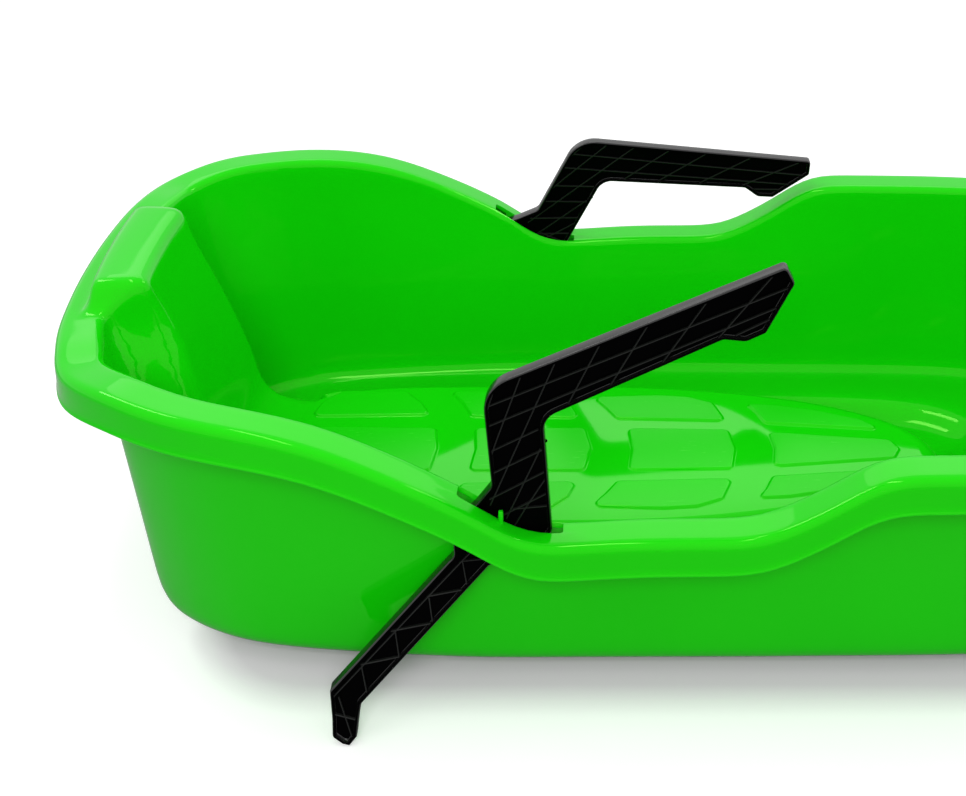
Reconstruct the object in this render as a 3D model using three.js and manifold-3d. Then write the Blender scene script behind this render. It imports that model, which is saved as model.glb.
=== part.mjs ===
// Plastic tub sled with two hand brake levers.
// Millimetres, +Z up, nose toward -X, rear toward +X, ground at z = 0.
// The hull is one moulded shell: a deep tub on two runner channels with a raised
// patterned floor between them and a rolled rim. Each lever swings on an axle pin
// in a slot of the rim.
import * as THREE from 'three';
import { mergeVertices } from 'three/addons/utils/BufferGeometryUtils.js';
import Module from 'manifold-3d';

const wasm = await Module();
wasm.setup();

// Driving dimensions of the hull
const rimHalfLength = 408.1; // nose to rear along the middle of the rim's flat band, halved
const rimHalfWidth = 214.5; // middle of the band, at the brake slots
const dipHeight = 148.5; // band height in the dip beside the brake slots
const crestRise = 87.5; // the front crest above the dip
const rearRise = 53.5; // the raised rear rim above the dip
const wall = 3.2;

// Rim section
const bandHalf = 9.5;
const outerRoll = 7;
const innerRoll = 6;
const skirtDrop = 26;
const skirtSplay = 1;
const lipFlare = 1.2;
const lipHeight = 2;

// Tub and runners
const sideLean = 3; // how far the side wall moves inward from rim to floor
const noseLean = 18;
const rearLean = 26;
const footFillet = 16; // between the wall and the side floor
const pillarFillet = 40;
const sideFloor = 20; // top of the narrow floor along the walls
const plateauHeight = 66;
const plateauHalfWidth = 93;
const plateauFront = 227; // from the plateau's widest place forward
const plateauRear = 275; // and rearward
const plateauMiddle = -62; // x of the widest place
// Edges of the runner channel, on the way from the plateau's edge to the wall's foot
const channelShares = { plateauSide: 0.276, wallSide: 0.575, top: 0.678 };

// Raised block in the middle of the nose, with the pillar below it
const blockHalf = 63;
const blockEnd = 12; // length of its sloping ends
const blockRise = 18.5;
const blockDepth = 29; // flat top, nose to cockpit
const blockFoot = 1.5; // from the band's middle to the block's outer foot
const pillarReach = 116.6; // from the band's middle to the pillar's foot on the floor
const pillarSpread = 66; // how much wider the pillar is at its foot

// Floor pads
const padHeight = 2.5;
const padInset = 6;
const laneOffset = 36.5; // middle of the two lengthwise grooves
const laneWidth = 11;
const grooveWidth = 29;
const groovePitch = 118;
const grooveStart = -193;
const grooveCount = 3;
const grooveBow = 34;

// Brake levers
const leverThickness = 10;
const leverRib = 2.2; // thickness of the edge flange of the I-section
const leverWeb = 4;
const hubRadius = 19.5;
const shankFront = 8.7; // pivot to the front edge of the shank
const shankWidth = 36.6;
const shankLean = THREE.MathUtils.degToRad(65);
const gripUnder = 53.7; // grip underside above the pivot
const gripHeel = 36.5; // grip depth at the bend
const gripTip = 27.5; // grip depth at the free end
const gripReach = 252; // pivot to the free end
const gripEndSlant = 29;
const fingerStop = 7.7;
const armLean = THREE.MathUtils.degToRad(18.7);
const armWidth = 21;
const armReach = 158;
const clawLength = 38;
const clawWidth = 21;
const armSplay = 0.374; // outward run per millimetre below the rim, in the pulled pose
const splayDepth = 32; // pivot to the level where the arm turns outward
const edgeRound = 3; // corner radius of the lever's outline
const heelRound = 26; // the same where the grip meets the shank, outside
const gripRound = 14; // and inside
const pulledTurn = THREE.MathUtils.degToRad(27.5); // near lever, as drawn
const restTurn = THREE.MathUtils.degToRad(-3); // far lever, as drawn

// Axle pin and slot
const pivotX = -120;
const pivotDrop = 12.97; // pin axis below the rim's band
const pinRadius = 2.5;
const runningGap = 0.3;
const slotSideGap = 0.75;
const slotFrontRoom = 15; // pivot to the slot's front end
const slotRearRoom = 52.4; // pivot to the slot's rear end
const leverInset = 6; // band's middle to the lever's middle
const lugThickness = 3.5;
const lugHalfLength = 7;
const lugDrop = 7; // lug below the pin axis
const nubHeight = 8;
const nubLength = 4;
const cutOverrun = 5;
const weldDistance = 1e-4;
const roundSideCount = 20; // flat sides that stand for a round pin, bore or seat

// Plan and height of the rim from nose to rear, as shares.
// Columns: x of rimHalfLength, y of rimHalfWidth, height above the dip of crestRise.
const rimShares = [
  [-1, 0, 0.975], [-0.9985, 0.14, 0.975], [-0.9936, 0.28, 0.975], [-0.985, 0.42, 0.975],
  [-0.9703, 0.54, 0.975], [-0.9464, 0.66, 0.965], [-0.8764, 0.784, 1], [-0.7944, 0.873, 0.985],
  [-0.7032, 0.929, 0.957], [-0.5634, 0.966, 0.85], [-0.4316, 0.987, 0.6],
  [-0.3242, 0.998, 0.33], [-0.2655, 1, 0.135], [-0.2178, 1, 0.02], [-0.152, 0.999, 0.008],
  [-0.0203, 0.998, 0.045], [0.1216, 0.997, 0.055], [0.1773, 0.996, 0.12], [0.2685, 0.994, 0.37],
  [0.3141, 0.993, 0.52],
];
// The same for the raised rear part, where the height is a share of rearRise.
const rearRimShares = [
  [0.3546, 0.992, 0.978], [0.4053, 0.991, 1], [0.52, 0.986, 1], [0.68, 0.965, 1], [0.8, 0.908, 1],
  [0.895, 0.79, 1], [0.96, 0.6, 1], [0.99, 0.36, 1], [1, 0.14, 1], [1, 0, 1],
];
const fineSpanCount = 13; // spans from the nose that get a station in the middle too

const lerp = THREE.MathUtils.lerp;
const smooth = THREE.MathUtils.smoothstep;

function toSolid(geometry) {
  const plain = geometry.clone();
  plain.deleteAttribute('normal');
  plain.deleteAttribute('uv');
  const merged = mergeVertices(plain, weldDistance);
  return new wasm.Manifold(new wasm.Mesh({
    numProp: 3,
    vertProperties: new Float32Array(merged.attributes.position.array),
    triVerts: new Uint32Array(merged.index.array),
  }));
}

function toGeometry(solid) {
  const mesh = solid.getMesh();
  const geometry = new THREE.BufferGeometry();
  geometry.setAttribute('position', new THREE.BufferAttribute(new Float32Array(mesh.vertProperties), 3));
  geometry.setIndex(new THREE.BufferAttribute(new Uint32Array(mesh.triVerts), 1));
  geometry.computeVertexNormals();
  return geometry;
}

function boxSolid(x0, x1, y0, y1, z0, z1) {
  const box = new THREE.BoxGeometry(x1 - x0, y1 - y0, z1 - z0);
  box.translate((x0 + x1) / 2, (y0 + y1) / 2, (z0 + z1) / 2);
  return toSolid(box);
}

// Round bar along Y
function barSolid(radius, x, z, y0, y1) {
  const bar = new THREE.CylinderGeometry(radius, radius, y1 - y0, roundSideCount);
  bar.translate(x, (y0 + y1) / 2, z);
  return toSolid(bar);
}

// The rim's middle line, one half, nose to rear
const rimRows = [
  ...rimShares.map(([x, y, z]) => new THREE.Vector3(x * rimHalfLength, y * rimHalfWidth, z * crestRise)),
  ...rearRimShares.map(([x, y, z]) => {
    return new THREE.Vector3(x * rimHalfLength, y * rimHalfWidth, z * rearRise);
  }),
];
const rimCurve = new THREE.CatmullRomCurve3(rimRows, false, 'centripetal');
const spans = rimRows.length - 1;
const halfStations = spans + fineSpanCount;

function rimStation(index) {
  const mirrored = index > halfStations;
  const step = mirrored ? 2 * halfStations - index : index;
  const place = (step < 2 * fineSpanCount ? step / 2 : step - fineSpanCount) / spans;
  const point = rimCurve.getPoint(place);
  const tangent = rimCurve.getTangent(place);
  const side = mirrored ? -1 : 1;
  const normal = new THREE.Vector2(-tangent.y, tangent.x).normalize();
  if (step === 0) normal.set(-1, 0);
  if (step === halfStations) normal.set(1, 0);
  if (step === 0 || step === halfStations) point.y = 0;
  return { x: point.x, y: point.y * side, z: point.z + dipHeight, nx: normal.x, ny: normal.y * side };
}

// Outer side of the shell, from the rim's lip over the band and down to the plateau
function sectionRows(station) {
  const { x, y, z, nx, ny } = station;
  const across = Math.abs(y);
  const inNose = x < 0;
  const block = inNose ? 1 - smooth(across, blockHalf, blockHalf + blockEnd) : 0;
  const out = (offset, height) => new THREE.Vector3(x + nx * offset, y + ny * offset, height);
  const mix = ([offset, height], [raisedOffset, raisedHeight]) => (
    out(lerp(offset, raisedOffset, block), lerp(height, raisedHeight, block)));
  const lipOut = bandHalf + outerRoll + skirtSplay + lipFlare;
  const lipZ = z - skirtDrop;
  const rows = [out(lipOut, lipZ), out(lipOut - lipFlare, lipZ + lipHeight)];
  for (const turn of [0, 1, 2]) {
    const angle = turn * Math.PI / 4;
    rows.push(out(bandHalf + outerRoll * Math.cos(angle), z - outerRoll * (1 - Math.sin(angle))));
  }
  const top = z + blockRise;
  const blockFront = blockFoot + wall * 2;
  const blockBack = blockFront + blockDepth;
  rows.push(mix([-bandHalf * 0.1, z], [-blockFoot, z]));
  rows.push(mix([-bandHalf * 0.4, z], [-blockFoot - wall, top - wall]));
  rows.push(mix([-bandHalf * 0.7, z], [-blockFront, top]));
  rows.push(mix([-bandHalf, z], [-blockBack, top]));
  const rollHalf = innerRoll * Math.SQRT1_2;
  const rollMiddle = [-bandHalf - rollHalf, z - innerRoll + rollHalf];
  rows.push(mix(rollMiddle, [-blockBack - innerRoll * 0.8, top - wall * 0.7]));
  rows.push(mix([-bandHalf - innerRoll, z - innerRoll], [-blockBack - innerRoll * 1.6, top - wall * 3.6]));
  // Wall, then the fillet to the side floor
  const endLean = inNose ? noseLean : rearLean;
  const lean = lerp(endLean, sideLean, smooth(across, blockHalf, rimHalfWidth * 0.9));
  const wallTop = -bandHalf - innerRoll;
  const wallFoot = wallTop - lean;
  const channel = inNose ? smooth(across, rimHalfWidth * 0.42, rimHalfWidth * 0.78) : 1;
  const keel = smooth(across, rimHalfWidth * 0.36, rimHalfWidth * 0.7);
  const floorZ = lerp(plateauHeight, sideFloor, channel);
  const fillet = lerp(pillarFillet * 0.7, footFillet, channel);
  const pillarTop = -blockBack - innerRoll * 1.9;
  const pillar = (low) => {
    const edge = blockHalf + low * pillarSpread * 0.4;
    return inNose ? 1 - smooth(across, edge, blockHalf + blockEnd + low * pillarSpread) : 0;
  };
  for (const drop of [0.3, 0.62, 1]) {
    const plain = [lerp(wallTop, wallFoot, drop), lerp(z - innerRoll, floorZ + fillet, drop)];
    const raised = [
      lerp(pillarTop, -pillarReach + pillarFillet, drop ** 0.75),
      lerp(top - wall * 5, plateauHeight + pillarFillet, drop),
    ];
    const share = pillar(drop);
    rows.push(out(lerp(plain[0], raised[0], share), lerp(plain[1], raised[1], share)));
  }
  const foot = pillar(1);
  const start = rows[rows.length - 1];
  const corner = out(lerp(wallFoot, -pillarReach + pillarFillet, foot), floorZ);
  const end = out(lerp(wallFoot - fillet, -pillarReach, foot), floorZ);
  for (const t of [0.33, 0.67]) {
    const a = start.clone().lerp(corner, t);
    const b = corner.clone().lerp(end, t);
    rows.push(a.lerp(b, t));
  }
  rows.push(end);
  // Runner channel, then the slope up to the plateau
  const edge = plateauPoint(x, y);
  const runnerZ = lerp(floorZ, wall, keel * channel);
  const place = (share, height) => {
    return new THREE.Vector3(lerp(edge.x, end.x, share), lerp(edge.y, end.y, share), height);
  };
  const shoulder = channelShares.plateauSide;
  rows.push(place(channelShares.top, floorZ));
  rows.push(place(channelShares.wallSide, runnerZ));
  rows.push(place(shoulder, runnerZ));
  rows.push(place(shoulder * 0.28, lerp(runnerZ, plateauHeight, 0.9)));
  rows.push(place(0, plateauHeight));
  const gap = new THREE.Vector2(end.x - edge.x, end.y - edge.y).setLength(padInset / 2);
  rows.push(new THREE.Vector3(edge.x - gap.x, edge.y - gap.y, plateauHeight));
  return rows;
}

// Rounded outline of the plateau: boxy at the nose end, elliptic at the rear end
function plateauOutline(turn, inset) {
  const c = Math.cos(turn);
  const s = Math.abs(Math.sin(turn));
  const front = c > 0;
  const power = front ? 0.35 : 1;
  const reach = (front ? plateauFront : plateauRear) - inset;
  return new THREE.Vector2(
    plateauMiddle - Math.sign(c) * reach * Math.abs(c) ** power,
    (plateauHalfWidth - inset) * s ** power,
  );
}

function plateauPoint(x, y) {
  const point = plateauOutline(Math.atan2(Math.abs(y) / rimHalfWidth, -x / rimHalfLength), 0);
  if (y < 0) point.y = -point.y;
  return point;
}

const flatRows = [16, 17, 18, 19]; // edges of the side floor and of the runner's flat bottom

// Closed shell: outer side, inner side offset by the wall, and the plateau's two caps
function shellGeometry() {
  const count = 2 * halfStations;
  const grid = [];
  for (let i = 0; i < count; i++) grid.push(sectionRows(rimStation(i)));
  const depth = grid[0].length;
  const at = (i, j) => grid[(i + count) % count][j];
  const positions = [];
  const under = [];
  const faceNormal = (a, b, c) => b.clone().sub(a).cross(c.clone().sub(a));
  for (let i = 0; i < count; i++) {
    for (let j = 0; j < depth; j++) {
      const normal = new THREE.Vector3();
      for (const [p, q] of [[-1, -1], [0, -1], [-1, 0], [0, 0]]) {
        if (j + q < 0 || j + q + 1 >= depth) continue;
        const a = at(i + p, j + q);
        const b = at(i + p, j + q + 1);
        const c = at(i + p + 1, j + q + 1);
        const d = at(i + p + 1, j + q);
        normal.add(faceNormal(a, b, d).normalize()).add(faceNormal(c, d, b).normalize());
      }
      normal.normalize();
      const point = at(i, j);
      const below = point.clone().addScaledVector(normal, -wall);
      if (j === 0) below.z = point.z;
      if (flatRows.includes(j)) below.z = point.z - wall;
      positions.push(point.x, point.y, point.z);
      under.push(below.x, below.y, below.z);
    }
  }
  const indices = [];
  const total = count * depth;
  const id = (i, j) => ((i + count) % count) * depth + j;
  for (let i = 0; i < count; i++) {
    for (let j = 0; j + 1 < depth; j++) {
      const [a, b, c, d] = [id(i, j), id(i, j + 1), id(i + 1, j + 1), id(i + 1, j)];
      indices.push(a, b, d, b, c, d);
      indices.push(total + a, total + d, total + b, total + b, total + d, total + c);
    }
    const [lip, next] = [id(i, 0), id(i + 1, 0)];
    indices.push(lip, next, total + lip, next, total + next, total + lip);
  }
  const ring = [];
  for (let i = 0; i < count; i++) ring.push(new THREE.Vector2(at(i, depth - 1).x, at(i, depth - 1).y));
  for (const [a, b, c] of THREE.ShapeUtils.triangulateShape(ring, [])) {
    const [p, q, r] = [id(a, depth - 1), id(b, depth - 1), id(c, depth - 1)];
    indices.push(p, q, r, total + p, total + r, total + q);
  }
  const geometry = new THREE.BufferGeometry();
  geometry.setAttribute('position', new THREE.Float32BufferAttribute([...positions, ...under], 3));
  geometry.setIndex(indices);
  return geometry;
}

// Raised pads: the plateau's outline less the lengthwise and crosswise grooves
function padSolid() {
  const outline = [];
  const steps = 28;
  for (let i = 0; i <= steps; i++) outline.push(plateauOutline(i / steps * Math.PI, padInset));
  for (let i = steps - 1; i > 0; i--) outline.push(new THREE.Vector2(outline[i].x, -outline[i].y));
  const depth = padHeight + wall / 2;
  const slab = new THREE.ExtrudeGeometry(new THREE.Shape(outline), { depth, bevelEnabled: false });
  slab.translate(0, 0, plateauHeight - wall / 2);
  let pads = toSolid(slab);
  const floor = plateauHeight - wall / 2 - cutOverrun;
  const roof = plateauHeight + padHeight + cutOverrun;
  for (const y of [-laneOffset, laneOffset]) {
    const x0 = plateauMiddle - plateauFront;
    const x1 = plateauMiddle + plateauRear;
    pads = pads.subtract(boxSolid(x0, x1, y - laneWidth / 2, y + laneWidth / 2, floor, roof));
  }
  for (let i = 0; i < grooveCount; i++) {
    pads = pads.subtract(toSolid(grooveGeometry(grooveStart + i * groovePitch, floor, roof)));
  }
  return pads;
}

// Crosswise groove, bowed toward the rear at the middle
function grooveGeometry(x, floor, roof) {
  const shape = new THREE.Shape();
  const bow = (share) => x + grooveBow * (1 - share * share);
  const shares = [-1, -0.66, -0.33, 0, 0.33, 0.66, 1];
  shares.forEach((s, i) => {
    const y = s * plateauHalfWidth;
    if (i === 0) shape.moveTo(bow(s) - grooveWidth / 2, y);
    else shape.lineTo(bow(s) - grooveWidth / 2, y);
  });
  for (const s of [...shares].reverse()) shape.lineTo(bow(s) + grooveWidth / 2, s * plateauHalfWidth);
  const groove = new THREE.ExtrudeGeometry(shape, { depth: roof - floor, bevelEnabled: false });
  groove.translate(0, 0, floor);
  return groove;
}

// Where the rim's middle line passes a given x on the side
function rimAt(x) {
  let low = 0.2;
  let high = 0.9;
  for (let i = 0; i < 40; i++) {
    const middle = (low + high) / 2;
    if (rimCurve.getPoint(middle).x < x) low = middle;
    else high = middle;
  }
  const point = rimCurve.getPoint(low);
  return { y: point.y, z: point.z + dipHeight };
}

const rimAtPivot = rimAt(pivotX);
const pivotZ = rimAtPivot.z - pivotDrop;
const leverY = rimAtPivot.y - leverInset;
const slotInner = leverY - leverThickness / 2 - slotSideGap;
const slotOuter = leverY + leverThickness / 2 + slotSideGap;
const pinInner = slotInner - wall / 2;
const pinOuter = slotOuter + lugThickness;

// Lug that hangs from the rim's sloping under side
function lugSolid(y0, y1) {
  const [front, rear] = [pivotX - lugHalfLength, pivotX + lugHalfLength];
  const foot = pivotZ - lugDrop;
  const corners = [[front, foot], [rear, foot], [rear, rimAt(rear).z - wall], [front, rimAt(front).z - wall]];
  const outline = new THREE.Shape(corners.map(([x, z]) => new THREE.Vector2(x, z)));
  const lug = new THREE.ExtrudeGeometry(outline, { depth: y1 - y0, bevelEnabled: false });
  lug.rotateX(Math.PI / 2);
  lug.translate(0, y1, 0);
  return toSolid(lug);
}

function hullSolid() {
  let hull = toSolid(shellGeometry()).add(padSolid());
  const wallInside = rimAtPivot.y - bandHalf - innerRoll + wall / 2;
  for (const side of [-1, 1]) {
    const span = (a, b) => (side > 0 ? [a, b] : [-b, -a]);
    const lugSpan = span(slotOuter, slotOuter + lugThickness);
    hull = hull.add(lugSolid(...lugSpan)).add(lugSolid(...span(wallInside, slotInner)));
    const slotSpan = span(slotInner, slotOuter);
    const slotX = [pivotX - slotFrontRoom, pivotX + slotRearRoom];
    const slotZ = [pivotZ - hubRadius * 2, pivotZ + hubRadius * 2];
    hull = hull.subtract(boxSolid(...slotX, ...slotSpan, ...slotZ));
    const nubX = pivotX + lugHalfLength + nubLength;
    const nubZ = rimAt(nubX).z;
    hull = hull.add(boxSolid(nubX, nubX + nubLength, ...lugSpan, nubZ - wall, nubZ + nubHeight));
    // Round seats for the pin, open at the bottom so that pin and lever snap in from below
    const seatSpan = span(pinInner - runningGap, pinOuter + cutOverrun / 2);
    const seat = pinRadius + runningGap;
    hull = hull.subtract(barSolid(seat, pivotX, pivotZ, ...seatSpan));
    const mouth = pinRadius * 0.9;
    const mouthZ = [pivotZ - lugDrop - cutOverrun / 2, pivotZ];
    hull = hull.subtract(boxSolid(pivotX - mouth, pivotX + mouth, ...seatSpan, ...mouthZ));
  }
  return hull;
}

// Lever outline in its own plane: x toward the rear, y up, pivot at the origin,
// with the grip's underside level
function leverOutline(inset) {
  const along = new THREE.Vector2(Math.cos(shankLean), Math.sin(shankLean));
  const back = new THREE.Vector2(along.y, -along.x);
  const onShank = (offset, height) => {
    const start = back.clone().multiplyScalar(offset);
    return start.addScaledVector(along, (height - start.y) / along.y);
  };
  const armAlong = new THREE.Vector2(-Math.cos(armLean), -Math.sin(armLean));
  const armDown = new THREE.Vector2(-armAlong.y, armAlong.x);
  const onArm = (reach, down) => armAlong.clone().multiplyScalar(reach).addScaledVector(armDown, down);
  const gripTop = gripUnder + gripHeel;
  const endTop = gripUnder + gripTip;
  const rear = shankFront + shankWidth;
  const armTop = armWidth * 0.24;
  const armFoot = armTop + armWidth;
  const claw = (reach, down) => onArm(armReach + reach * clawWidth, armTop + down * clawLength);
  const corners = [
    [new THREE.Vector2(gripReach, endTop), edgeRound],
    [onShank(shankFront, gripTop), heelRound],
    [onShank(shankFront, hubRadius * 1.05), edgeRound],
    [new THREE.Vector2(-hubRadius * 0.3, hubRadius), hubRadius * 0.5],
    [new THREE.Vector2(-hubRadius, hubRadius * 0.25), hubRadius * 0.6],
    [onArm(armWidth * 1.6, armTop), armWidth * 0.4],
    [onArm(armReach, armTop), edgeRound],
    [claw(0.62, 0.36), edgeRound],
    [claw(1.05, 0.58), edgeRound],
    [claw(1, 0.79), edgeRound / 2],
    [claw(0.88, 0.9), edgeRound / 3],
    [claw(0.5, 0.89), edgeRound / 3],
    [claw(0.02, 0.7), edgeRound],
    [onArm(armReach - clawWidth * 0.39, armFoot), edgeRound],
    [onArm(armWidth, armFoot), edgeRound],
    [new THREE.Vector2(-hubRadius * 0.1, -hubRadius * 2.27), edgeRound / 3],
    [new THREE.Vector2(hubRadius * 0.2, -hubRadius * 2.27), edgeRound / 3],
    [onShank(rear, -hubRadius * 1.35), edgeRound * 2],
    [onShank(rear, gripUnder), gripRound],
    [new THREE.Vector2(gripReach - gripEndSlant * 1.85, gripUnder), edgeRound * 2],
    [new THREE.Vector2(gripReach - gripEndSlant * 1.45, gripUnder - fingerStop), edgeRound * 2],
    [new THREE.Vector2(gripReach - gripEndSlant, gripUnder - fingerStop), edgeRound],
    [new THREE.Vector2(gripReach, endTop - gripTip * 0.45), edgeRound],
  ];
  return roundedOutline(offsetCorners(corners, inset));
}

// Moves each corner of a closed outline inward
function offsetCorners(corners, inset) {
  if (inset === 0) return corners;
  const count = corners.length;
  return corners.map(([point, radius], i) => {
    const before = corners[(i + count - 1) % count][0];
    const after = corners[(i + 1) % count][0];
    const a = point.clone().sub(before).normalize();
    const b = after.clone().sub(point).normalize();
    const na = new THREE.Vector2(-a.y, a.x);
    const nb = new THREE.Vector2(-b.y, b.x);
    const bisector = na.clone().add(nb).normalize();
    const length = Math.min(inset / Math.max(bisector.dot(na), 0.5), inset * 2);
    return [point.clone().addScaledVector(bisector, length), Math.max(radius - inset, edgeRound / 6)];
  });
}

// Replaces each corner with a short curve
function roundedOutline(corners) {
  const count = corners.length;
  const points = [];
  corners.forEach(([point, radius], i) => {
    const before = corners[(i + count - 1) % count][0];
    const after = corners[(i + 1) % count][0];
    const back = Math.min(radius, point.distanceTo(before) * 0.48);
    const ahead = Math.min(radius, point.distanceTo(after) * 0.48);
    const start = point.clone().addScaledVector(before.clone().sub(point).normalize(), back);
    const end = point.clone().addScaledVector(after.clone().sub(point).normalize(), ahead);
    for (const t of [0, 0.33, 0.67, 1]) {
      const p = start.clone().lerp(point, t);
      points.push(p.lerp(point.clone().lerp(end, t), t));
    }
  });
  return points;
}

// One lever, pivot at the origin, drawn with its outer side toward +Y
function leverSolid() {
  const plate = (outline, y0, y1) => {
    const depth = y1 - y0;
    const body = new THREE.ExtrudeGeometry(new THREE.Shape(outline), { depth, bevelEnabled: false });
    body.rotateX(Math.PI / 2);
    body.translate(0, y1, 0);
    return toSolid(body);
  };
  const half = leverThickness / 2;
  let lever = plate(leverOutline(0), -half, half);
  const inner = leverOutline(leverRib);
  lever = lever.subtract(plate(inner, leverWeb / 2, half + cutOverrun));
  lever = lever.subtract(plate(inner, -half - cutOverrun, -leverWeb / 2));
  lever = lever.add(barSolid(pinRadius * 2.6, 0, 0, -half, half));
  const bore = half + cutOverrun;
  return lever.subtract(barSolid(pinRadius + runningGap, 0, 0, -bore, bore));
}

// Bends the brake arm outward below the rim
function splay(geometry) {
  const position = geometry.attributes.position;
  for (let i = 0; i < position.count; i++) {
    const x = position.getX(i);
    const z = position.getZ(i);
    const level = x * Math.sin(pulledTurn) + z * Math.cos(pulledTurn);
    position.setY(i, position.getY(i) + Math.max(0, -splayDepth - level) * armSplay);
  }
  geometry.computeVertexNormals();
  return geometry;
}

function pinGeometry() {
  return new THREE.CylinderGeometry(pinRadius, pinRadius, pinOuter - pinInner, roundSideCount);
}

const hullMaterial = new THREE.MeshStandardMaterial({ color: 0x2ecc14, roughness: 0.18, metalness: 0 });
const leverMaterial = new THREE.MeshStandardMaterial({ color: 0x0b0b0c, roughness: 0.45, metalness: 0 });
const pinMaterial = new THREE.MeshStandardMaterial({ color: 0xb4b8bc, roughness: 0.3, metalness: 1 });

const sled = new THREE.Group();

function addMesh(parent, name, geometry, material) {
  const mesh = new THREE.Mesh(geometry, material);
  mesh.name = name;
  parent.add(mesh);
  return mesh;
}

addMesh(sled, 'hull', toGeometry(hullSolid()), hullMaterial);

const leverShape = splay(toGeometry(leverSolid()));
for (const [label, side, turn] of [['left', -1, pulledTurn], ['right', 1, restTurn]]) {
  const hinge = new THREE.Group();
  hinge.position.set(pivotX, side * leverY, pivotZ);
  hinge.rotation.y = -turn;
  let shape = leverShape.clone();
  if (side < 0) shape = mirrored(shape);
  addMesh(hinge, `brake_lever_${label}`, shape, leverMaterial);
  sled.add(hinge);
  const pin = addMesh(sled, `axle_pin_${label}`, pinGeometry(), pinMaterial);
  pin.position.set(pivotX, side * (pinInner + pinOuter) / 2, pivotZ);
}

// Mirror image across the XZ plane, faces still pointing out
function mirrored(geometry) {
  const position = geometry.attributes.position;
  for (let i = 0; i < position.count; i++) position.setY(i, -position.getY(i));
  const index = geometry.index.array;
  for (let i = 0; i < index.length; i += 3) [index[i + 1], index[i + 2]] = [index[i + 2], index[i + 1]];
  geometry.computeVertexNormals();
  return geometry;
}

export default sled;
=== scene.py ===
import math

import bmesh
import bpy
import numpy as np
from mathutils import Matrix, Vector


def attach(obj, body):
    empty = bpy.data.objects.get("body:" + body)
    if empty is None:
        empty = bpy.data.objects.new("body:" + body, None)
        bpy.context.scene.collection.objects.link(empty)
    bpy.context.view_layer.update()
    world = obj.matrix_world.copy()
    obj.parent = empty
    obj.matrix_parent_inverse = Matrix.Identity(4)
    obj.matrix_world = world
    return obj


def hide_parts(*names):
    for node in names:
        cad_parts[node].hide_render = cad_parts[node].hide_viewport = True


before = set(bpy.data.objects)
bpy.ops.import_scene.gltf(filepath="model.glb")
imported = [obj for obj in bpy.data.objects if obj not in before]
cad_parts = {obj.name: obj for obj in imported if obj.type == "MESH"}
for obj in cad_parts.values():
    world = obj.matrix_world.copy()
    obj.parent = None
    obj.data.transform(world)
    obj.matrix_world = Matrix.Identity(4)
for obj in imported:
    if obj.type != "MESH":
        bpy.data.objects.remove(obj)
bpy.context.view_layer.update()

# Measures, in metres

RIM_HALF_LENGTH, RIM_HALF_WIDTH = 0.4081, 0.2145
DIP_HEIGHT, CREST_RISE, REAR_RISE = 0.1485, 0.0875, 0.0535
WALL = 0.0032
BAND_HALF, OUTER_ROLL, INNER_ROLL = 0.0095, 0.007, 0.006
SKIRT_DROP, SKIRT_SPLAY, LIP_FLARE = 0.026, 0.001, 0.00115
# The lip from its lower edge up: distance in from its widest place, height above the edge
LIP_EDGE = [(LIP_FLARE / 2, 0), (0, 0.0006), (0, 0.0016), (LIP_FLARE, 0.0028)]
SIDE_LEAN, NOSE_LEAN, REAR_LEAN = 0.003, 0.018, 0.026
LEAN_END_SHARE = 0.9  # share of the half width at which the wall leans as on the sides
FOOT_FILLET, PILLAR_FILLET, NOSE_FILLET, SIDE_FLOOR = 0.016, 0.040, 0.028, 0.020
PLATEAU_HEIGHT, PLATEAU_HALF_WIDTH = 0.066, 0.093
PLATEAU_FRONT, PLATEAU_REAR, PLATEAU_MIDDLE = 0.227, 0.275, -0.062
FRONT_POWER = 0.35  # how square the raised floor's front is
LEVEL_EDGE = 0.0021  # level ring inside the raised floor's edge
# Edges of the runner channel, on the way from the raised floor to the wall's foot
CHANNEL_TOP_SHARE, CHANNEL_WALL_SHARE, SHOULDER_SHARE = 0.678, 0.575, 0.276
# Where the channel and its keel begin and are full in the nose, as shares of the half width
CHANNEL_START, CHANNEL_FULL, KEEL_START, KEEL_FULL = 0.42, 0.78, 0.36, 0.7
SOFT_EDGE, SOFT_EDGE_SHARE = 0.003, 0.035  # half width of the channel's rounded edges
# How far each rounded edge reaches down the channel's wall, and up the raised floor's side
CHANNEL_EDGE_DROP, SHOULDER_EDGE_RISE = 0.18, 0.12
# The raised floor's side: share of the shoulder's width, share of its height
PLATEAU_SIDE = [(0.4, 0.8), (0.2, 0.955)]
BLOCK_HALF, BLOCK_END, BLOCK_RISE, BLOCK_EDGE, BLOCK_DEPTH = 0.063, 0.012, 0.0185, 0.0079, 0.029
# The block's front face: distance behind the band's middle, height above the band
BLOCK_FRONT = [
    (0, 0), (0.0012, 0.00128), (0.00278, 0.00512), (0.0047, 0.01147), (0.00598, 0.01626),
    (0.00982, BLOCK_RISE),
]
# The block's rounded rear edge: distance behind the edge, drop below the top
BLOCK_BACK = [(-0.001, 0), (0.0045, 0.0022), (0.0075, 0.0065), (0.0095, 0.0115)]
PILLAR_REACH, PILLAR_SPREAD, PILLAR_ROUND = 0.1166, 0.066, 0.010
PILLAR_FACE_SHARE = 0.4  # share of the spread that widens the pillar's face
PILLAR_TOP, PILLAR_TOP_DROP = 0.0114, 0.016  # behind the block's edge and below its top
# The pillar's face from top to foot: share of the drop, share of the way out
PILLAR_DROP = [(0, 0), (0.144, 0.2), (0.306, 0.45), (0.476, 0.6), (0.646, 0.78), (0.8, 0.9), (1, 1)]
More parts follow.
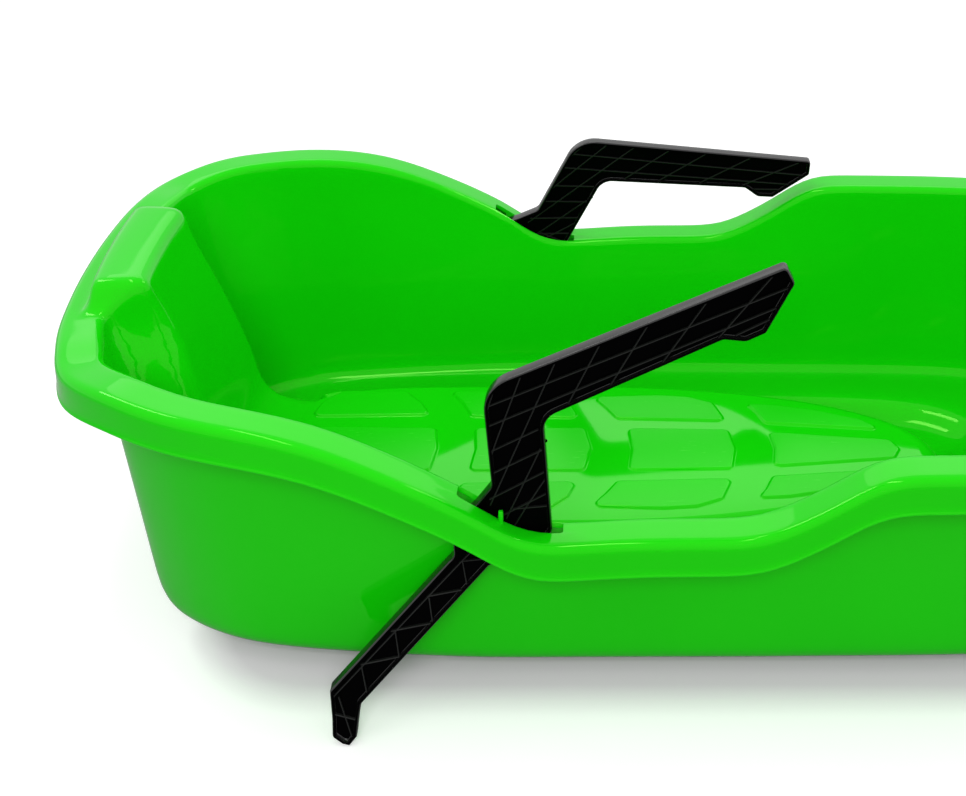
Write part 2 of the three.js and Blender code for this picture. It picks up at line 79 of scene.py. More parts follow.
# Rows of the section round the rolls, in degrees, and across the band from its middle
OUTER_ROLL_TURNS = (8, 25, 42, 59, 76, 90)
SLOT_TURN = 22.0  # where the slot's inner edge cuts the inner roll
INNER_ROLL_TURNS = (12, SLOT_TURN, 45, 68, 90)
BAND_PLACES = (0.00475, 0.003, -0.00025, -0.003, -0.006, -0.0085)  # the third is the slot's edge
ROLL_LEAD = 0.002  # last row of the skirt, below the outer roll
WALL_DROPS = (0.1, 0.3, 0.5, 0.7, 0.87, 1.0)
# Numbers of the section's rows where the skirt begins and where the slot's two edges lie
SKIRT_ROW, OUTER_SLOT_ROW, INNER_SLOT_ROW = 3, 14, 19
LIP_WALL_SHARE = 0.8  # of the skirt's wall that is left at the lip
SLOT_FRONT, SLOT_REAR = -0.135, -0.0676
SLOT_INNER, SLOT_OUTER = 0.20264, 0.21414
SLOT_EDGE_ROOM, SLOT_CELL_ROOM, SLOT_CREASE = 0.002, 0.001, 0.85
SLOT_REACH, SLOT_LOWEST = 0.012, 0.13  # every slot edge lies this near the pivot and this high
PIVOT = Vector((-0.120, 0.20838572, 0.15567634))
PIN_RADIUS, PIN_ROUND, PIN_START, PIN_END = 0.0025, 0.0004, 0.2011, 0.2176
LUG_THICKNESS, LUG_HALF, LUG_LOW, LUG_FRONT, LUG_REAR = 0.0035, 0.007, -0.007, 0.0150, 0.0045
LUG_ROUND, LUG_SEAT_ROOM, LUG_MOUTH_SHARE, LUG_SEAT_POINTS = 0.0003, 0.0003, 0.9, 15
NUB_X, NUB_Y, NUB_TOP = -0.1088, 0.2159, 0.1687
NUB_LENGTH, NUB_HALF, NUB_HEIGHT, NUB_ROUND = 0.0032, 0.0016, 0.010, 0.0009
# Places along the rim from the nose: close together as far as NOSE_RUN, then even ones
NOSE_RUN, NOSE_STEP, REST_PLACES, CURVE_SAMPLES = 0.21, 0.007, 58, 40
SIDE_START, SIDE_END_ROOM = 0.06, 0.1  # stretch of the rim that is searched for the slots

# Middle line of the rim's flat band from nose to rear: shares of the half length, of the
# half width, and of the crest's or the rear's rise above the dip.
FRONT_RIM = [
    (-1, 0, 0.975), (-0.9985, 0.14, 0.975), (-0.9936, 0.28, 0.975), (-0.985, 0.42, 0.975),
    (-0.9703, 0.54, 0.975), (-0.9464, 0.66, 0.965), (-0.8764, 0.784, 1), (-0.7944, 0.873, 0.985),
    (-0.7032, 0.929, 0.957), (-0.5634, 0.966, 0.85), (-0.4316, 0.987, 0.6), (-0.3242, 0.998, 0.33),
    (-0.2655, 1, 0.135), (-0.2178, 1, 0.02), (-0.152, 0.999, 0.008), (-0.0203, 0.998, 0.045),
    (0.1216, 0.997, 0.055), (0.1773, 0.996, 0.12), (0.2685, 0.994, 0.37), (0.3141, 0.993, 0.52),
]
REAR_RIM = [
    (0.3546, 0.992, 0.978), (0.4053, 0.991, 1), (0.52, 0.986, 1), (0.68, 0.965, 1), (0.8, 0.908, 1),
    (0.895, 0.79, 1), (0.96, 0.6, 1), (0.99, 0.36, 1), (1, 0.14, 1), (1, 0, 1),
]


def lerp(a, b, t):
    return a + (b - a) * t


def smooth(value, low, high):
    t = min(max((value - low) / (high - low), 0.0), 1.0)
    return t * t * (3 - 2 * t)


def rim_points():
    rows = [(x * RIM_HALF_LENGTH, y * RIM_HALF_WIDTH, z * CREST_RISE) for x, y, z in FRONT_RIM]
    rows += [(x * RIM_HALF_LENGTH, y * RIM_HALF_WIDTH, z * REAR_RISE) for x, y, z in REAR_RIM]
    half = [(x, y, z + DIP_HEIGHT) for x, y, z in rows]
    return half + [(x, -y, z) for x, y, z in reversed(half[1:-1])]


def closed_curve(points, samples):
    """Points evenly indexed along a smooth closed curve with no kinks in its bend."""
    p = np.array(points)
    count = len(p)
    span = np.sqrt(np.linalg.norm(np.roll(p, -1, 0) - p, axis=1))
    system, right = np.zeros((count, count)), np.zeros((count, 3))
    for i in range(count):
        back, ahead = span[i - 1], span[i]
        system[i, i - 1] += back
        system[i, i] += 2 * (back + ahead)
        system[i, (i + 1) % count] += ahead
        right[i] = 6 * ((p[(i + 1) % count] - p[i]) / ahead - (p[i] - p[i - 1]) / back)
    bend = np.linalg.solve(system, right)
    curve = []
    for i in range(count):
        a, b, k = p[i], p[(i + 1) % count], span[i]
        for t in np.linspace(0, 1, samples, endpoint=False):
            u = 1 - t
            pull = (u**3 - u) * bend[i] + (t**3 - t) * bend[(i + 1) % count]
            curve.append(a * u + b * t + k * k / 6 * pull)
    return np.array(curve)


def rim_stations():
    """Places round the rim, each a point and its outward direction in plan. Both halves match."""
    curve = closed_curve(rim_points(), CURVE_SAMPLES)
    half = curve[: len(curve) // 2 + 1]
    run = np.concatenate([[0], np.cumsum(np.linalg.norm(np.diff(half, axis=0), axis=1))])
    nose = np.arange(0, NOSE_RUN, NOSE_STEP)
    rest = np.linspace(NOSE_RUN, run[-1], REST_PLACES)
    places = list(np.concatenate([nose, rest]))
    on_side = [i for i in range(len(half)) if SIDE_START < run[i] < run[-1] - SIDE_END_ROOM]
    for x in (SLOT_FRONT, SLOT_REAR):
        at = float(np.interp(x, [half[i][0] for i in on_side], [run[i] for i in on_side]))
        nearest = min(range(len(places)), key=lambda i: abs(places[i] - at))
        places[nearest] = at
    way = np.gradient(half, axis=0)
    stations = []
    for place in places:
        x, y, z = (float(np.interp(place, run, half[:, k])) for k in range(3))
        tx, ty = (float(np.interp(place, run, way[:, k])) for k in range(2))
        length = math.hypot(tx, ty)
        stations.append((x, y, z, -ty / length, tx / length))
    x, _, z, *_ = stations[0]
    stations[0] = (x, 0.0, z, -1.0, 0.0)
    x, _, z, *_ = stations[-1]
    stations[-1] = (x, 0.0, z, 1.0, 0.0)
    return stations + [(x, -y, z, nx, -ny) for x, y, z, nx, ny in reversed(stations[1:-1])]


def plateau_edge(x, y, foot_y, foot):
    """Point of the raised floor's outline toward a rim point, or beside the pillar's foot."""
    turn = math.atan2(abs(y) / RIM_HALF_WIDTH, -x / RIM_HALF_LENGTH)
    beside = math.asin(min(abs(foot_y) / PLATEAU_HALF_WIDTH, 1) ** (1 / FRONT_POWER))
    turn = lerp(turn, beside, foot)
    c, s = math.cos(turn), abs(math.sin(turn))
    reach, power = (PLATEAU_FRONT, FRONT_POWER) if c > 0 else (PLATEAU_REAR, 1)
    return (
        PLATEAU_MIDDLE - math.copysign(reach * abs(c) ** power, c),
        math.copysign(PLATEAU_HALF_WIDTH * s**power, y),
    )


def section(station):
    """Upper side of the shell at one place, from the rim's lip in to the raised floor."""
    x, y, z, nx, ny = station
    across = abs(y)
    in_nose = x < 0
    block = 1 - smooth(across, BLOCK_HALF, BLOCK_HALF + BLOCK_END) if in_nose else 0.0
    top = z + BLOCK_RISE

    def out(offset, height):
        return Vector((x + nx * offset, y + ny * offset, height))

    def mix(plain, raised, share):
        return out(lerp(plain[0], raised[0], share), lerp(plain[1], raised[1], share))

    lip_out = BAND_HALF + OUTER_ROLL + SKIRT_SPLAY + LIP_FLARE
    rows = [out(lip_out - inward, z - SKIRT_DROP + rise) for inward, rise in LIP_EDGE]
    rows.append(out(lip_out - LIP_FLARE - SKIRT_SPLAY / 2, z - SKIRT_DROP / 2))
    rows.append(out(BAND_HALF + OUTER_ROLL, z - OUTER_ROLL - ROLL_LEAD))
    for degrees in OUTER_ROLL_TURNS:
        angle = math.radians(degrees)
        drop = OUTER_ROLL * (1 - math.sin(angle))
        rows.append(out(BAND_HALF + OUTER_ROLL * math.cos(angle), z - drop))
    back = BLOCK_EDGE + BLOCK_DEPTH
    for offset, (behind, rise) in zip(BAND_PLACES, BLOCK_FRONT):
        rows.append(mix((offset, z), (-behind, z + rise), block))
    block_back = [(-BLOCK_EDGE - BLOCK_DEPTH / 2, top)]
    block_back += [(-back - behind, top - drop) for behind, drop in BLOCK_BACK]
    for degrees, raised in zip(INNER_ROLL_TURNS, block_back):
        angle = math.radians(degrees)
        plain = (-BAND_HALF - INNER_ROLL * math.sin(angle), z - INNER_ROLL * (1 - math.cos(angle)))
        rows.append(mix(plain, raised, block))
    end_lean = NOSE_LEAN if in_nose else REAR_LEAN
    side_share = smooth(across, BLOCK_HALF, RIM_HALF_WIDTH * LEAN_END_SHARE)
    wall_top = -BAND_HALF - INNER_ROLL
    wall_foot = wall_top - lerp(end_lean, SIDE_LEAN, side_share)
    channel = 1.0
    if in_nose:
        channel = smooth(across, RIM_HALF_WIDTH * CHANNEL_START, RIM_HALF_WIDTH * CHANNEL_FULL)
    keel = smooth(across, RIM_HALF_WIDTH * KEEL_START, RIM_HALF_WIDTH * KEEL_FULL)
    floor = lerp(PLATEAU_HEIGHT, SIDE_FLOOR, channel)
    fillet = lerp(NOSE_FILLET, FOOT_FILLET, channel)

    def pillar(low):
        if not in_nose:
            return 0.0
        start = BLOCK_HALF - PILLAR_ROUND + low * PILLAR_SPREAD * PILLAR_FACE_SHARE
        return 1 - smooth(across, start, BLOCK_HALF + BLOCK_END + low * PILLAR_SPREAD)

    pillar_foot = -PILLAR_REACH + PILLAR_FILLET
    for drop in WALL_DROPS:
        plain = (lerp(wall_top, wall_foot, drop), lerp(z - INNER_ROLL, floor + fillet, drop))
        raised = (
            lerp(-back - PILLAR_TOP, pillar_foot, np.interp(drop, *zip(*PILLAR_DROP))),
            lerp(top - PILLAR_TOP_DROP, PLATEAU_HEIGHT + PILLAR_FILLET, drop),
        )
        rows.append(mix(plain, raised, pillar(drop)))
    foot = pillar(1)
    start = rows[-1]
    corner = out(lerp(wall_foot, pillar_foot, foot), floor)
    end = out(lerp(wall_foot - fillet, -PILLAR_REACH, foot), floor)
    for t in (0.25, 0.5, 0.75):
        rows.append(start.lerp(corner, t).lerp(corner.lerp(end, t), t))
    rows.append(end)
    edge_x, edge_y = plateau_edge(x, y, end.y, foot)
    gap = Vector((end.x - edge_x, end.y - edge_y))
    reach = gap.length
    gap.normalize()
    runner = lerp(floor, WALL, keel * channel)

    def place(away, height):
        return Vector((edge_x + gap.x * away, edge_y + gap.y * away, height))

    soft = min(SOFT_EDGE, reach * SOFT_EDGE_SHARE)
    outer, inner = reach * CHANNEL_TOP_SHARE, reach * CHANNEL_WALL_SHARE
    shoulder = reach * SHOULDER_SHARE
    rows.append(place(lerp(outer, reach, 0.5), floor))
    rows.append(place(outer + soft, floor))
    rows.append(place(outer - soft, lerp(floor, runner, CHANNEL_EDGE_DROP)))
    rows.append(place(inner + soft, lerp(runner, floor, CHANNEL_EDGE_DROP)))
    rows.append(place(inner - soft, runner))
    rows.append(place(shoulder + soft, runner))
    rows.append(place(shoulder - soft, lerp(runner, PLATEAU_HEIGHT, SHOULDER_EDGE_RISE)))
    for width, height in PLATEAU_SIDE:
        rows.append(place(shoulder * width, lerp(runner, PLATEAU_HEIGHT, height)))
    rows.append(place(0.0, PLATEAU_HEIGHT))
    rows.append(place(-LEVEL_EDGE, PLATEAU_HEIGHT))
    return rows


def shell_grid():
    """Rows of points all round the sled: up the under side to the lip, then over the upper side."""
    stations = rim_stations()
    rows = np.array([[list(p) for p in section(s)] for s in stations])
    for i, (x, y, *_rest) in enumerate(stations):
        if SLOT_FRONT - SLOT_EDGE_ROOM < x < SLOT_REAR + SLOT_EDGE_ROOM:
            side = math.copysign(1, y)
            rows[i][OUTER_SLOT_ROW][1] = side * SLOT_OUTER
            rows[i][INNER_SLOT_ROW][1] = side * SLOT_INNER
    along = np.roll(rows, -1, 0) - np.roll(rows, 1, 0)
    down = np.gradient(rows, axis=1)
    normal = np.cross(down, along)
    normal /= np.linalg.norm(normal, axis=2, keepdims=True)
    normal[:, -1] = (0, 0, 1)
    under = rows - normal * WALL
    lip = rows[:, 0].copy()
    under[:, 0] = lip + (under[:, SKIRT_ROW] - rows[:, SKIRT_ROW]) * LIP_WALL_SHARE
    under[:, 0, 2] = lip[:, 2]
    return stations, np.concatenate([under[:, ::-1], rows], axis=1)


# Mesh helpers

CORNER_SHARE = 0.47  # most of a side that one rounded corner takes
CORNER_STEP = 9.0  # degrees
SHARP_ANGLE = 40.0
PLATE_SIDE = 0.00001  # inset of a plate's flat edge, which stands almost upright


def new_object(name, bm):
    mesh = bpy.data.meshes.new(name)
    bm.to_mesh(mesh)
    bm.free()
    piece = bpy.data.objects.new(name, mesh)
    bpy.context.scene.collection.objects.link(piece)
    return piece


def subdivided(bm):
    """The same shape after one round of smoothing, as a new bmesh."""
    piece = new_object("smoothing", bm)
    change = piece.modifiers.new("subdivision", "SUBSURF")
    change.levels = change.render_levels = 1
    bpy.context.view_layer.update()
    shown = piece.evaluated_get(bpy.context.evaluated_depsgraph_get())
    result = bmesh.new()
    result.from_mesh(shown.to_mesh())
    shown.to_mesh_clear()
    mesh = piece.data
    bpy.data.objects.remove(piece)
    bpy.data.meshes.remove(mesh)
    return result


def add_to(bm, part):
    """Joins part into bm and frees it."""
    mesh = bpy.data.meshes.new("part")
    part.to_mesh(mesh)
    part.free()
    bm.from_mesh(mesh)
    bpy.data.meshes.remove(mesh)


def bevelled(part, edges, width, segments):
    """Rounds the given edges of part."""
    bmesh.ops.bevel(
        part, geom=edges, offset=width, segments=segments, profile=0.5,
        affect="EDGES", offset_type="OFFSET", material=-1,
    )


def block(low, high, round_over):
    """A box between two corners with rounded edges."""
    part = bmesh.new()
    bmesh.ops.create_cube(part, size=1.0)
    size = Vector(high) - Vector(low)
    bmesh.ops.scale(part, vec=size, verts=part.verts)
    bmesh.ops.translate(part, vec=(Vector(low) + Vector(high)) / 2, verts=part.verts)
    bevelled(part, part.edges[:], round_over, 3)
    return part


def rounded_line(corners):
    """Corners with radii, in millimetres, as a closed line of points in metres."""
    line = []
    for i, (x, y, radius) in enumerate(corners):
        here = Vector((x, y))
        if radius == 0:
            line.append(here / 1000)
            continue
        back = Vector(corners[i - 1][:2]) - here
        ahead = Vector(corners[(i + 1) % len(corners)][:2]) - here
        half = back.angle(ahead) / 2
        longest = CORNER_SHARE * min(back.length, ahead.length)
        reach = min(radius / math.tan(half), longest)
        radius = reach * math.tan(half)
        inward = (back.normalized() + ahead.normalized()).normalized()
        centre = here + inward * (radius / math.sin(half))
        start = here + back.normalized() * reach - centre
        sweep = math.pi - 2 * half
        way = math.copysign(1, back.x * ahead.y - back.y * ahead.x)
        count = max(3, math.ceil(sweep / math.radians(CORNER_STEP)))
        for k in range(count + 1):
            turn = -way * sweep * k / count
            c, s = math.cos(turn), math.sin(turn)
            arm = Vector((start.x * c - start.y * s, start.x * s + start.y * c))
            line.append((centre + arm) / 1000)
    return line


def inset(part, face, steps):
    """Draws a face in and up by each step's width and rise in turn."""
    for width, rise in steps:
        bmesh.ops.inset_individual(part, faces=[face], thickness=width, depth=rise, use_even_offset=True)


def thicken(part, steps):
    """Turns one upright face at the middle plane into a plate, with the same edge on both sides."""
    part.normal_update()
    face = part.faces[:][0]
    if face.normal.y < 0:
        face.normal_flip()
    inset(part, face, steps)
    everything = part.verts[:] + part.edges[:] + part.faces[:]
    bmesh.ops.mirror(part, geom=everything, matrix=Matrix.Identity(4), merge_dist=1e-6, axis="Y")
    bmesh.ops.recalc_face_normals(part, faces=part.faces)


def finished(name, bm, node, body):
    """Smooth faces with sharp corners kept, and the piece's place in the frame."""
    for face in bm.faces:
        face.smooth = True
    piece = new_object(name, bm)
    piece.data.set_sharp_from_angle(angle=math.radians(SHARP_ANGLE))
    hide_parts(node)
    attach(piece, body)
    return piece


# Hull

# Outlines of the raised pads on the positive side, and of the middle ones; millimetres
SIDE_PADS = [
    [(-283.5, 45.5), (-182, 47.5), (-191, 66), (-207, 86), (-262, 86.5), (-277, 68)],
    [(-150.5, 45), (-60, 43), (-67, 64), (-84, 83), (-120, 86.5), (-174, 86.5), (-160, 66)],
    [(-31, 42), (61, 38.5), (51, 67.5), (30, 77.5), (4, 80), (-53, 77.5), (-40, 58)],
    [(90, 35.5), (188, 26), (171, 43), (134, 57.5), (102, 65), (75, 67), (83, 53)],
]
MIDDLE_PADS = [
    [(-283.5, -33), (-176, -31), (-172.5, 0), (-176, 31), (-283.5, 33), (-285.3, 0)],
    [(-147.5, -31), (-55.5, -31), (-49.6, 0), (-55.5, 31), (-147.5, 31), (-144.5, 0)],
    [(-22.5, -30.5), (61, -28.5), (65.5, 0), (61, 28.5), (-22.5, 30.5), (-20, 0)],
    [(91, -25.5), (190, -14), (197, 0), (190, 14), (91, 25.5), (94, 0)],
]
PAD_CORNER = 6.5  # millimetres
# Width and rise of each ring round a pad's top, from outside in; metres
PAD_EDGE = [
    (0.0004, 0.0), (0.0006, 0.00015), (0.0005, 0.0004), (0.0005, 0.0006),
    (0.0005, 0.0004), (0.0005, 0.0002), (0.0004, 0.0),
]
LEVEL_TOLERANCE = 1e-4


def raised_pad(outline):
    """One floor pad with soft edges, open below."""
    part = bmesh.new()
    line = rounded_line([(x, y, PAD_CORNER) for x, y in outline])
    part.faces.new([part.verts.new((p.x, p.y, PLATEAU_HEIGHT)) for p in line])
    top = part.faces[:][0]
    inset(part, top, PAD_EDGE)
    top.material_index = 1
    return part


def hull_skin():
    """The shell with its slots, open at the raised floor on both sides."""
    stations, rows = shell_grid()
    count, depth = rows.shape[:2]
    bm = bmesh.new()
    bmesh.ops.create_grid(bm, x_segments=count, y_segments=depth - 1, size=1.0)
    bm.verts.ensure_lookup_table()
    for vertex in bm.verts:
        i, j = vertex.index % (count + 1), vertex.index // (count + 1)
        vertex.co = rows[i % count][j]
    inside = []
    half = depth // 2
    for face in bm.faces:
        ij = [(v.index % (count + 1), v.index // (count + 1)) for v in face.verts]
        columns, lines = [a for a, _ in ij], [b for _, b in ij]
        if max(columns) == count:
            continue
        along = [stations[i][0] for i in columns]
        in_run = min(along) > SLOT_FRONT - SLOT_CELL_ROOM and max(along) < SLOT_REAR + SLOT_CELL_ROOM
        on_top = min(lines) >= half + OUTER_SLOT_ROW and max(lines) <= half + INNER_SLOT_ROW
        below = max(lines) <= half - 1 - OUTER_SLOT_ROW and min(lines) >= half - 1 - INNER_SLOT_ROW
        if in_run and (on_top or below):
            inside.append(face)
    bmesh.ops.delete(bm, geom=inside, context="FACES")
    bmesh.ops.remove_doubles(bm, verts=bm.verts, dist=1e-6)
    crease = bm.edges.layers.float.new("crease_edge")
    for side in (-1, 1):
        at_slot = {
            v for v in bm.verts
            if abs(v.co.y - side * PIVOT.y) < SLOT_REACH and v.co.z > SLOT_LOWEST
        }
        edges = [e for e in bm.edges if e.is_boundary and at_slot.issuperset(e.verts)]
        for edge in edges:
            edge[crease] = SLOT_CREASE
        bmesh.ops.bridge_loops(bm, edges=edges)
    return subdivided(bm)


def lug_outline():
    """Lug seen from the side: a block with a round seat for the pin, open below."""
    seat, mouth = PIN_RADIUS + LUG_SEAT_ROOM, PIN_RADIUS * LUG_MOUTH_SHARE
    start = math.asin(mouth / seat)
    line = [(-mouth, LUG_LOW), (-LUG_HALF, LUG_LOW), (-LUG_HALF, LUG_FRONT), (LUG_HALF, LUG_REAR)]
    line += [(LUG_HALF, LUG_LOW), (mouth, LUG_LOW)]
    for turn in np.linspace(start, 2 * math.pi - start, LUG_SEAT_POINTS):
        line.append((seat * math.sin(turn), -seat * math.cos(turn)))
    return line


def hull_fixtures():
    """Lugs for the lever pins beside each slot and the small nub that stands at its edge."""
    parts = bmesh.new()
    for side in (-1, 1):
        for near in (SLOT_OUTER, SLOT_INNER - LUG_THICKNESS):
            lug = bmesh.new()
            half = LUG_THICKNESS / 2
            lug.faces.new([lug.verts.new((x, 0, z)) for x, z in lug_outline()])
            thicken(lug, [(PLATE_SIDE, half - LUG_ROUND), (LUG_ROUND, LUG_ROUND)])
            bmesh.ops.translate(lug, vec=(PIVOT.x, side * (near + half), PIVOT.z), verts=lug.verts)
            add_to(parts, lug)
        low = (NUB_X, side * NUB_Y - NUB_HALF, NUB_TOP - NUB_HEIGHT)
        high = (NUB_X + NUB_LENGTH, side * NUB_Y + NUB_HALF, NUB_TOP)
        add_to(parts, block(low, high, NUB_ROUND))
    return parts


def make_hull():
    """The whole moulding: shell, raised floor with its pads, lugs and nubs."""
    bm = hull_skin()
    rim = [e for e in bm.edges if e.is_boundary]
    low = [e for e in rim if e.verts[0].co.z < PLATEAU_HEIGHT - WALL / 2]
    bmesh.ops.edgeloop_fill(bm, edges=low)
    for outline in SIDE_PADS:
        add_to(bm, raised_pad(outline))
        add_to(bm, raised_pad([(x, -y) for x, y in reversed(outline)]))
    for outline in MIDDLE_PADS:
        add_to(bm, raised_pad(outline))
    rim = [e for e in bm.edges if e.is_boundary]
    high = [e for e in rim if abs(e.verts[0].co.z - PLATEAU_HEIGHT) < LEVEL_TOLERANCE]
    bmesh.ops.triangle_fill(bm, edges=high, use_beauty=True, normal=(0, 0, 1))
    bmesh.ops.recalc_face_normals(bm, faces=bm.faces)
    add_to(bm, hull_fixtures())
    return finished("tub_hull", bm, "hull", "sled_body")


# Brake levers

LEVER_HALF = 0.005
PULLED_TURN, REST_TURN = 27.5, -3.0  # the near lever and the far one, in degrees
# The arm turns outward below a level that lies BEND_DEPTH under the pivot in the pulled pose
BEND_DEPTH, BEND_SLOPE = 0.032, 0.374
# Corners of the lever in its own plane with their radii, pivot at zero; millimetres
LEVER_LINE = [
    (252, 81.2, 3), (51.7, 90.2, 26), (20.4, 23.2, 8), (3.5, 14.6, 3), (-19.5, 4.9, 11.7),
    (-30.2, -15.5, 8.4), (-148, -55.4, 3), (-156, -72.6, 3), (-161.9, -83.4, 3), (-158.3, -90.6, 2.8),
    (-154.6, -93.8, 0), (-147.1, -90.8, 0), (-139.9, -80.8, 3), (-133.5, -72.7, 3), (-11.5, -31.4, 3),
    (-2, -44.3, 0), (3.9, -44.3, 0), (37.7, -26.3, 6), (75, 53.7, 14), (198.3, 53.7, 6),
    (209.9, 46, 6), (223, 46, 3), (252, 68.8, 3),
]
# Width and rise of each ring from the lever's outline in: flat edge, rounding, rim, pocket; metres
LEVER_EDGE = [
    (PLATE_SIDE, 0.0036), (0.0001, 0.0005), (0.0003, 0.0004), (0.0004, 0.0003), (0.0006, 0.0002),
    (0.0004, 0), (0.0004, 0), (0.0001, -0.0003), (0.0002, -0.0024), (0.0002, -0.0002), (0.0003, 0),
]
RIB_MARGIN, RIB_HALF_WIDTH, RIB_HALF_DEPTH, RIB_BEVEL_SHARE = 0.0011, 0.0004, 0.0040, 0.8
HUB_RADIUS, HUB_SINK = 0.0065, 0.0003
BEAD_RADIUS, BEAD_PLACE = 0.0032, (0.0008, 0, -0.0432)
# Small stub that the moulding leaves on the shank's rear edge
STUB_LOW, STUB_HIGH, STUB_ROUND = (0.0655, -0.0009, 0.0350), (0.0677, 0.0009, 0.0366), 0.0004
# The rim faces and the ribs take lighter, glossier copies of the black: painted sheen
FACE_FINISH, EDGE_PAINTED_SHEEN, RIB_PAINTED_SHEEN = 0, 1, 2
FLAT_FACE = 0.9  # least share of a face's normal that points across the lever
# Ribs that cross the pockets, each from one point of the lever's plane to another; millimetres
LONG_RIBS = [
    (34, 77.6, 251, 67.4), (30, 64.3, 246, 58.2), (28, 46.5, 68, 47.6), (206, 52.5, 236, 53.4),
    (20, 31.1, 66, 32.9), (14, 14.4, 59, 17.4), (6, -1.5, 51, 1.8),
]
SLANT_RIBS = [
    (242, 79, 190, 52.7), (202, 82.2, 153, 52.3), (166, 85.7, 118, 52.3), (133, 86.4, 89, 52.3),
    (105, 89.5, 50, 42.6, 12, 10.1), (80, 89.4, 41.6, 53.3, 24, 36), (62, 34, 33.4, 10.3, 16, -4),
    (58, 15, 31.9, -1.8, 6, -20), (23.5, 0.7, 47, -8.4), (58, 86, 34, 62),
]
ARM_RIBS = [
    (-12, -14.6, -28, -21.4, -149, -60.6), (-27, -21.6, -3, -30.6), (-27.2, -21, -34.6, -43.4),
    (-32, -39.3, -59, -31), (-58.6, -32, -65.6, -50.6), (-64.6, -48, -92, -39.8),
    (-89.6, -41.6, -97, -61), (-95.4, -57.3, -121, -49.9), (-121.2, -51.6, -127.6, -71),
    (-145, -62, -151, -92.6), (-155, -69.4, -141, -82),
]


def inside_parts(start, end, line):
    """The stretches of a straight rib that lie inside a closed line, a little short of it."""
    way = end - start
    cuts = []
    for i, a in enumerate(line):
        b = line[(i + 1) % len(line)]
        across = way.x * (b.y - a.y) - way.y * (b.x - a.x)
        if abs(across) < 1e-12:
            continue
        along = ((a.x - start.x) * (b.y - a.y) - (a.y - start.y) * (b.x - a.x)) / across
        share = ((a.x - start.x) * way.y - (a.y - start.y) * way.x) / across
        if 0 <= share < 1:
            cuts.append(along)
    cuts.sort()
    margin = RIB_MARGIN / way.length
    spans = [(max(a + margin, 0), min(b - margin, 1)) for a, b in zip(cuts[::2], cuts[1::2])]
    return [(start + way * a, start + way * b) for a, b in spans if b - a > margin]


def rib(x0, z0, x1, z1):
    """A slim rib through the lever's web, with its long edges taken off."""
    part = bmesh.new()
    bmesh.ops.create_cube(part, size=2.0)
    length = math.hypot(x1 - x0, z1 - z0)
    bmesh.ops.scale(part, vec=(length / 2, RIB_HALF_DEPTH, RIB_HALF_WIDTH), verts=part.verts)
    edges = [e for e in part.edges if abs(e.verts[0].co.x - e.verts[1].co.x) > length / 2]
    bevelled(part, edges, RIB_HALF_WIDTH * RIB_BEVEL_SHARE, 2)
    turn = Matrix.Rotation(-math.atan2(z1 - z0, x1 - x0), 4, "Y")
    place = Matrix.Translation(((x0 + x1) / 2, 0, (z0 + z1) / 2))
    bmesh.ops.transform(part, matrix=place @ turn, verts=part.verts)
    return part


def lever_shape():
    """The lever flat in its own plane: a web with a rim round it and ribs across."""
    part = bmesh.new()
    outline = rounded_line(LEVER_LINE)
    part.faces.new([part.verts.new((p.x, 0, p.y)) for p in outline])
    thicken(part, LEVER_EDGE)
    # faces that don't point across the lever get the lighter copy of the black: painted sheen on the rim
    for face in part.faces:
        face.material_index = FACE_FINISH if abs(face.normal.y) > FLAT_FACE else EDGE_PAINTED_SHEEN
    ribs = bmesh.new()
    for line in LONG_RIBS + SLANT_RIBS + ARM_RIBS:
        for k in range(0, len(line) - 2, 2):
            ends = [Vector(line[i : i + 2]) / 1000 for i in (k, k + 2)]
            for a, b in inside_parts(*ends, outline):
                add_to(ribs, rib(*a, *b))
    # the ribs get a lighter copy of the black: painted sheen
    for face in ribs.faces:
        face.material_index = RIB_PAINTED_SHEEN
    add_to(part, ribs)
    hub = bmesh.new()
    bmesh.ops.create_cone(
        hub, cap_ends=True, segments=40, radius1=HUB_RADIUS, radius2=HUB_RADIUS,
        depth=2 * LEVER_HALF - HUB_SINK, matrix=Matrix.Rotation(math.pi / 2, 4, "X"),
    )
    add_to(part, hub)
    bead = bmesh.new()
    bmesh.ops.create_uvsphere(
        bead, u_segments=20, v_segments=12, radius=BEAD_RADIUS, matrix=Matrix.Translation(BEAD_PLACE),
    )
    add_to(part, bead)
    add_to(part, block(STUB_LOW, STUB_HIGH, STUB_ROUND))
    return part


def make_lever(name, side, turn, node, body):
    """A lever with its arm splayed outward, turned on its pin to the pose at rest."""
    part = lever_shape()
    c, s = math.cos(math.radians(PULLED_TURN)), math.sin(math.radians(PULLED_TURN))
    everything = part.verts[:] + part.edges[:] + part.faces[:]
    bend = Vector((-s * BEND_DEPTH, 0, -c * BEND_DEPTH))
    bmesh.ops.bisect_plane(part, geom=everything, plane_co=bend, plane_no=(s, 0, c))
    for vertex in part.verts:
        level = vertex.co.x * s + vertex.co.z * c
        vertex.co.y += max(0.0, -BEND_DEPTH - level) * BEND_SLOPE
    bmesh.ops.transform(part, matrix=Matrix.Rotation(-math.radians(turn), 4, "Y"), verts=part.verts)
    bmesh.ops.translate(part, vec=PIVOT, verts=part.verts)
    if side < 0:
        bmesh.ops.scale(part, vec=(1, -1, 1), verts=part.verts)
        bmesh.ops.reverse_faces(part, faces=part.faces)
    return finished(name, part, node, body)


def make_pin(name, side, node):
    """The pin through both lugs of one slot, with rounded ends."""
    part = bmesh.new()
    bmesh.ops.create_cone(
        part, cap_ends=True, segments=36, radius1=PIN_RADIUS, radius2=PIN_RADIUS,
        depth=PIN_END - PIN_START, matrix=Matrix.Rotation(math.pi / 2, 4, "X"),
    )
    ends = [e for e in part.edges if abs(e.verts[0].co.y - e.verts[1].co.y) < 1e-6]
    bevelled(part, ends, PIN_ROUND, 3)
    middle = side * (PIN_START + PIN_END) / 2
    bmesh.ops.translate(part, vec=(PIVOT.x, middle, PIVOT.z), verts=part.verts)
    return finished(name, part, node, "sled_body")


